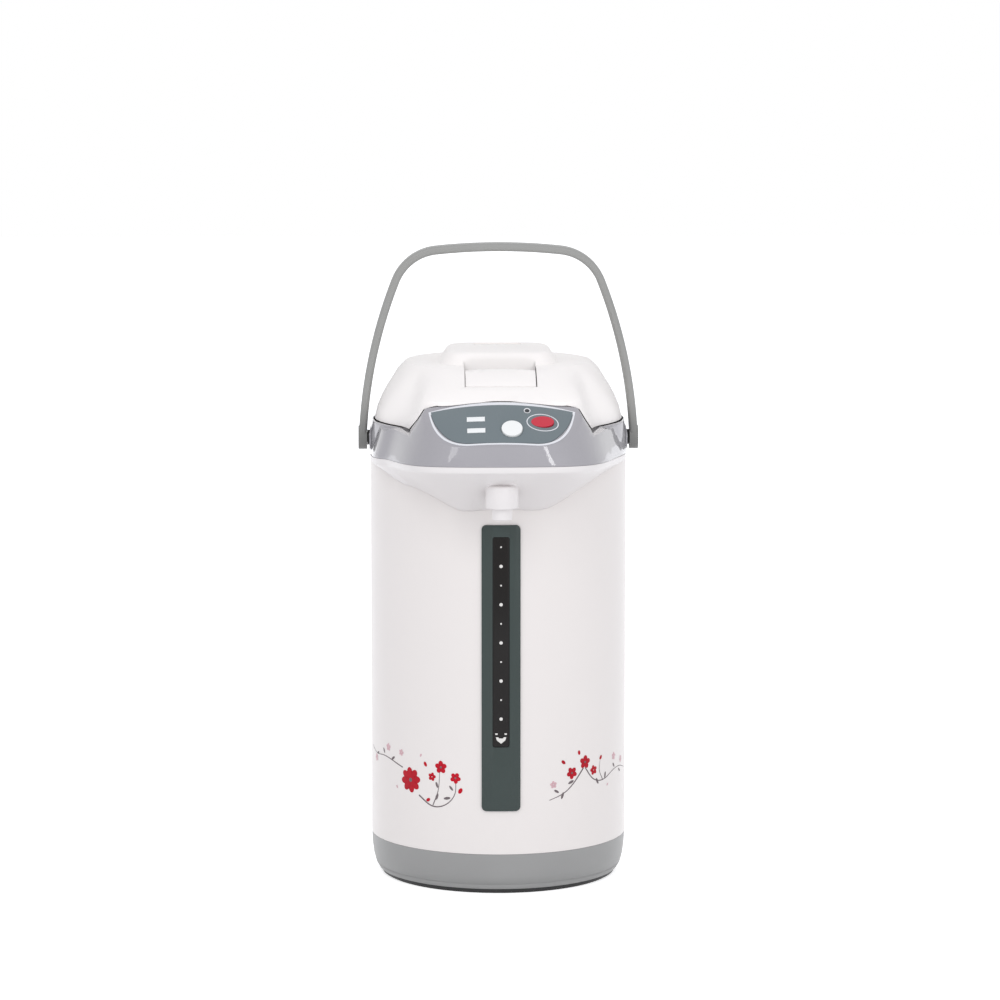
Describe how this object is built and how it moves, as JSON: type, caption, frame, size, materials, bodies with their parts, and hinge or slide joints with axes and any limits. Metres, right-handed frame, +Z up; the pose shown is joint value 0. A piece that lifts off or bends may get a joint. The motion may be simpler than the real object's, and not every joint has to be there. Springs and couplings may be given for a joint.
{
  "type": "electric thermo pot",
  "caption": "Electric thermo pot: tall round insulated jug with a front spout and control console, hinged lid with an opening lever, carrying bail and swivel foot.",
  "frame": {"origin": "on the pot's axis, on the surface it stands on", "axes": "+Z up along the pot's axis; -Y towards the spout and the control console; +Y towards the lid hinge and the power inlet; +X to the right seen from the front"},
  "size_m": [0.2012, 0.2503, 0.4571],
  "materials": {
    "casing_enamel": "smooth white enamel with a printed spray of blossom",
    "white_plastic": "smooth, slightly warm white",
    "silver_plastic": "silver lacquer",
    "handle_grey": "fine satin",
    "base_grey": "fine satin",
    "black_plastic": "fine satin",
    "foot_rubber": "matte",
    "stainless": "brushed",
    "fluorine_coat": "dark non-stick coat",
    "clear_tube": "clear",
    "window_black": "polished, with white level dots",
    "gauge_green_grey": "satin gloss",
    "panel_grey": "satin gloss with a light line round its edge",
    "lamp_white": "milky",
    "button_white": "smooth",
    "button_red": "smooth",
    "heater_metal": "plain",
    "silicone": "translucent grey",
    "pump_plastic": "plain",
    "board_green": "circuit board"
  },
  "bodies": {
    "stand": {"turntable": "black_plastic", "foot_ring": "foot_rubber", "swivel_retainer": "black_plastic", "swivel_screw": "stainless"},
    "pot": {"base_ring": "base_grey", "bottom_plate": "black_plastic", "base_screw_1": "stainless", "base_screw_2": "stainless", "base_screw_3": "stainless", "base_screw_4": "stainless", "outer_casing": "casing_enamel", "inner_pot": "fluorine_coat", "pot_seal": "silicone", "heater_band": "heater_metal", "thermostat": "black_plastic", "pump_housing": "pump_plastic", "pump_motor": "stainless", "pump_hose": "silicone", "gauge_tube": "clear_tube", "outlet_pipe": "silicone", "power_board": "board_green", "power_inlet": "black_plastic", "inlet_pin_left": "stainless", "inlet_pin_right": "stainless", "shoulder_collar": "silver_plastic", "panel_plate": "panel_grey", "boil_lamp": "lamp_white", "warm_lamp": "lamp_white", "unlock_lamp": "lamp_white", "control_board": "board_green", "spout_cover": "white_plastic", "spout_sleeve": "white_plastic", "spout_nozzle": "white_plastic", "gauge_panel": "gauge_green_grey", "gauge_window": "window_black", "hinge_pin": "stainless", "handle_pivot_left": "handle_grey", "handle_pivot_right": "handle_grey"},
    "lid": {"lid_cover": "white_plastic", "lid_liner": "white_plastic", "lid_plate": "stainless", "lid_gasket": "silicone", "steam_duct": "pump_plastic", "steam_vent": "white_plastic", "lid_screw_1": "stainless", "lid_screw_2": "stainless", "lid_screw_3": "stainless", "lid_screw_4": "stainless", "lever_pin": "stainless"},
    "lever": {"lid_lever": "white_plastic"},
    "handle": {"handle": "handle_grey"},
    "unlock_button": {"unlock_button": "button_white"},
    "dispense_button": {"dispense_button": "button_red"},
    "impeller": {"impeller": "pump_plastic"},
    "motor_rotor": {"motor_rotor": "stainless"}
  },
  "joints": [
    {"name": "swivel", "type": "hinge", "parent": "stand", "child": "pot", "pos_m": [0, 0, 0], "axis": [0, 0, 1], "continuous": true},
    {"name": "lid_hinge", "type": "hinge", "parent": "pot", "child": "lid", "pos_m": [0, 0.0975, 0.3265], "axis": [-1, 0, 0], "range_deg": [0, 78]},
    {"name": "lid_lever", "type": "hinge", "parent": "lid", "child": "lever", "pos_m": [0, -0.0875, 0.3602], "axis": [1, 0, 0], "range_deg": [0, 12], "stiffness_Nm_per_rad": 0.5, "springref_deg": -8.59},
    {"name": "handle_swing", "type": "hinge", "parent": "pot", "child": "handle", "pos_m": [0, 0, 0.317], "axis": [-1, 0, 0], "range_deg": [0, 110]},
    {"name": "unlock_press", "type": "slide", "parent": "pot", "child": "unlock_button", "axis": [0, 0.6275, -0.7786], "range_m": [0, 0.0012], "stiffness_N_per_m": 600, "springref_m": -0.0006},
    {"name": "dispense_press", "type": "slide", "parent": "pot", "child": "dispense_button", "axis": [0, 0.6275, -0.7786], "range_m": [0, 0.0012], "stiffness_N_per_m": 600, "springref_m": -0.0006},
    {"name": "rotor_spin", "type": "hinge", "parent": "pot", "child": "motor_rotor", "pos_m": [0, -0.038, 0.02], "axis": [0, 0, 1], "continuous": true},
    {"name": "impeller_spin", "type": "hinge", "parent": "pot", "child": "impeller", "pos_m": [0, -0.038, 0.042], "axis": [0, 0, 1], "continuous": true}
  ],
  "couplings": [
    {"joint": "handle_swing", "follows": "lid_hinge", "ratio": 1.4103},
    {"joint": "impeller_spin", "follows": "rotor_spin", "ratio": 1}
  ]
}
